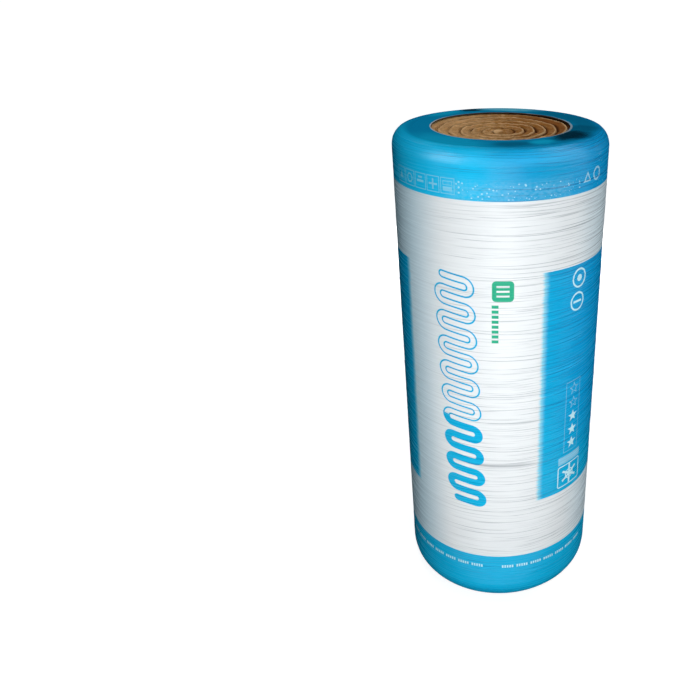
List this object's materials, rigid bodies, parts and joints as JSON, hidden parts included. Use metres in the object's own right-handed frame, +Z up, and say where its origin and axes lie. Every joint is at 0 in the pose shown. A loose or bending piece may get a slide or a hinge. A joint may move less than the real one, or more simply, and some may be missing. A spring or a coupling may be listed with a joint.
{
  "type": "insulation roll",
  "caption": "Upright roll of brown mineral wool in a printed plastic film sleeve, its ends drawn in round an opening that shows the spiral turns.",
  "frame": {"origin": "where the roll's axis meets the floor, at the centre of its lower end", "axes": "+Z up along the roll's axis, -Y towards the front of the print, +X to its right"},
  "size_m": [0.49, 0.49, 1.205],
  "materials": {
    "wool": "matt, fibrous, golden brown",
    "film": "glossy printed polyethylene film, white with blue bands and panels"
  },
  "bodies": {
    "root": {"wool_roll": "wool", "film_wrap": "film"}
  },
  "joints": []
}
